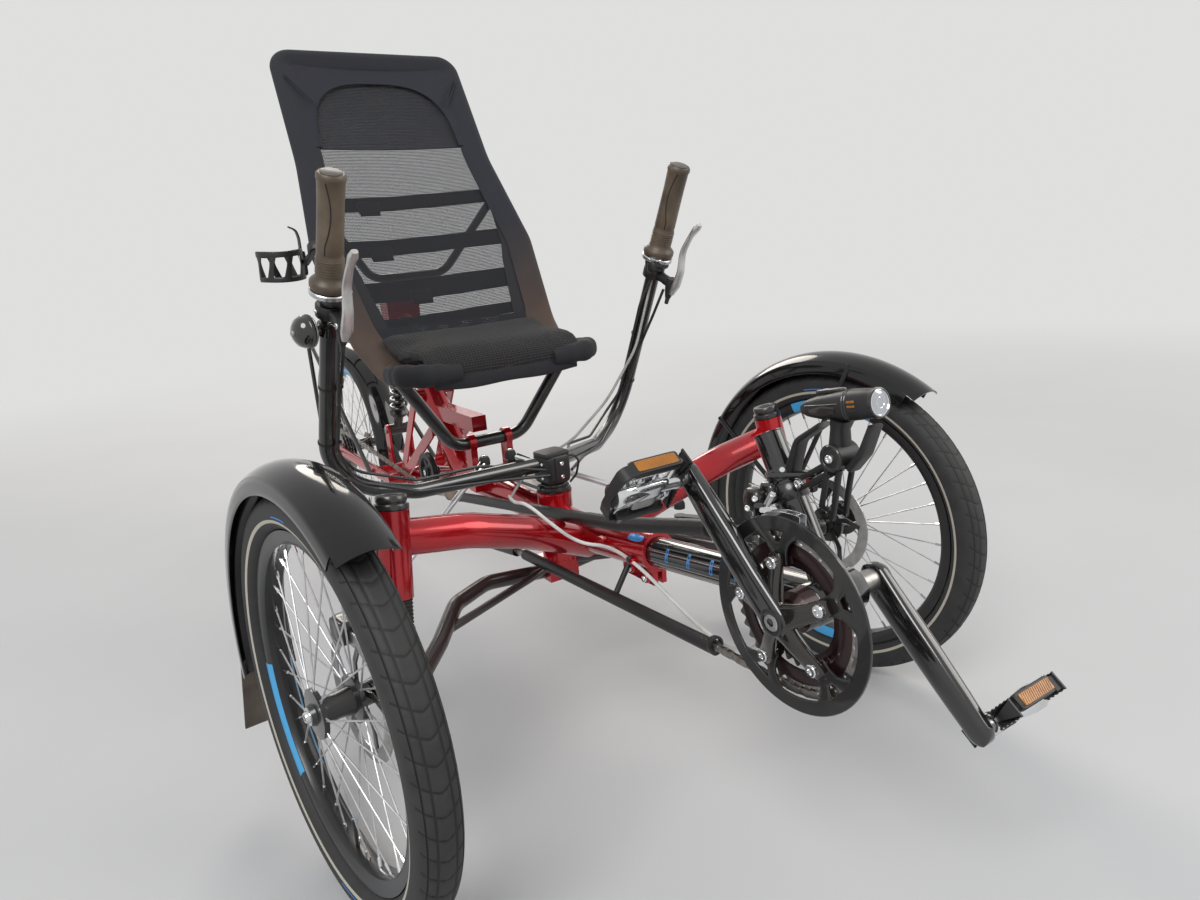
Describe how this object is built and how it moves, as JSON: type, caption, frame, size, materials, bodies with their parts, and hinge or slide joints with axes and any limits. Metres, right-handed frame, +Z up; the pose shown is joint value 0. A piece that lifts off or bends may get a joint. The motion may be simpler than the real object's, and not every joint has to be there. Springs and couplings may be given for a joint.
{
  "type": "recumbent tadpole trike",
  "caption": "Tadpole recumbent trike: two steered front wheels with fenders, driven rear wheel, mesh seat, underseat U handlebar, long chain and rear rack.",
  "frame": {"origin": "middle of the footprint's bounding box, at the ground under the tyres", "axes": "+Z up, the rider faces -Y, the rider's right side is -X"},
  "size_m": [0.96, 2.0236, 1.1094],
  "materials": {
    "red_paint": "gloss candy paint",
    "black_gloss": "gloss",
    "black_satin": "satin powder coat",
    "black_plastic": "matte",
    "fender_plastic": "gloss",
    "dark_arm": "satin",
    "alloy": "satin",
    "steel": "brushed",
    "chain_steel": "oiled",
    "tyre_rubber": "matte with reflective stripe",
    "rubber": "matte",
    "mesh_fabric": "woven mesh",
    "pad_fabric": "coarse weave",
    "cable_white": "satin"
  },
  "bodies": {
    "frame": {"main_tube": "red_paint", "crossbeam": "red_paint", "strut_caps": "black_satin", "boom": "black_gloss", "arm_mount": "red_paint", "lower_arms": "dark_arm", "swingarm": "red_paint", "rear_axle": "steel", "shock": "black_satin", "frame_straps": "black_gloss", "chain": "chain_steel", "chain_tubes": "black_plastic", "idler": "black_plastic", "rear_derailleur": "black_satin", "front_derailleur": "black_satin", "headlamp": "black_satin", "seat_carrier": "red_paint", "seat_frame": "black_satin", "seat_mesh": "mesh_fabric", "seat_pad": "pad_fabric", "rear_rack": "black_satin", "rear_fender": "fender_plastic", "bottle_cage": "black_plastic", "gear_cable": "cable_white"},
    "bar": {"handlebar": "black_satin", "bar_clamp": "black_satin", "steering_plate": "black_satin", "grips": "rubber", "brake_levers": "alloy", "bell": "black_plastic"},
    "knuckle_left": {"knuckle_left": "black_satin", "caliper_left": "alloy", "fender_left": "fender_plastic", "mud_flap_left": "black_plastic"},
    "wheel_left": {"tyre_left": "tyre_rubber", "wheel_left": "alloy"},
    "tie_rod_left": {"tie_rod_left": "alloy"},
    "knuckle_right": {"knuckle_right": "black_satin", "caliper_right": "alloy", "fender_right": "fender_plastic", "mud_flap_right": "black_plastic"},
    "wheel_right": {"tyre_right": "tyre_rubber", "wheel_right": "alloy"},
    "tie_rod_right": {"tie_rod_right": "alloy"},
    "wheel_rear": {"tyre_rear": "tyre_rubber", "wheel_rear": "alloy", "cassette": "steel"},
    "crank": {"crank_axle": "steel", "crank_left": "black_gloss", "crank_right": "black_gloss", "chainrings": "steel", "chain_guard": "black_satin"},
    "pedal_left": {"pedal_left": "alloy"},
    "pedal_right": {"pedal_right": "alloy"}
  },
  "joints": [
    {"name": "bar_steer", "type": "hinge", "parent": "frame", "child": "bar", "pos_m": [0.00652, -0.29017, 0.34135], "axis": [0, 0, 1], "range_deg": [-21.48, 12.68]},
    {"name": "steer_left", "type": "hinge", "parent": "frame", "child": "knuckle_left", "pos_m": [0.34396, -0.48207, 0.21535], "axis": [-0.1371, 0.1469, 0.9796], "range_deg": [-32.8, 19.4]},
    {"name": "wheel_left_spin", "type": "hinge", "parent": "knuckle_left", "child": "wheel_left", "pos_m": [0.42683, -0.48317, 0.25004], "axis": [0.9933, 0.1142, -0.0181], "continuous": true},
    {"name": "tie_rod_left_pivot", "type": "hinge", "parent": "bar", "child": "tie_rod_left", "pos_m": [0.01948, -0.11967, 0.38165], "axis": [0, 0, 1], "range_deg": [-19.85, 33.56]},
    {"name": "steer_right", "type": "hinge", "parent": "frame", "child": "knuckle_right", "pos_m": [-0.33092, -0.48207, 0.21535], "axis": [0.1371, 0.1469, 0.9796], "range_deg": [-32.8, 19.4]},
    {"name": "wheel_right_spin", "type": "hinge", "parent": "knuckle_right", "child": "wheel_right", "pos_m": [-0.41001, -0.50296, 0.25248], "axis": [0.9933, 0.1144, -0.0162], "continuous": true},
    {"name": "tie_rod_right_pivot", "type": "hinge", "parent": "bar", "child": "tie_rod_right", "pos_m": [-0.03237, -0.12366, 0.38165], "axis": [0, 0, 1], "range_deg": [-20, 33.81]},
    {"name": "wheel_rear_spin", "type": "hinge", "parent": "frame", "child": "wheel_rear", "pos_m": [0.00652, 0.76183, 0.25135], "axis": [1, 0, 0], "continuous": true},
    {"name": "crank_spin", "type": "hinge", "parent": "frame", "child": "crank", "pos_m": [0.00652, -0.84817, 0.37335], "axis": [1, 0, 0], "continuous": true},
    {"name": "pedal_left_spin", "type": "hinge", "parent": "crank", "child": "pedal_left", "pos_m": [0.13052, -0.96983, 0.25462], "axis": [1, 0, 0], "continuous": true},
    {"name": "pedal_right_spin", "type": "hinge", "parent": "crank", "child": "pedal_right", "pos_m": [-0.11748, -0.7265, 0.49208], "axis": [1, 0, 0], "continuous": true}
  ],
  "couplings": [
    {"joint": "steer_left", "follows": "bar_steer", "ratio": 1.5227},
    {"joint": "tie_rod_left_pivot", "follows": "bar_steer", "ratio": -1.558},
    {"joint": "steer_right", "follows": "bar_steer", "ratio": 1.5227},
    {"joint": "tie_rod_right_pivot", "follows": "bar_steer", "ratio": -1.5697}
  ]
}
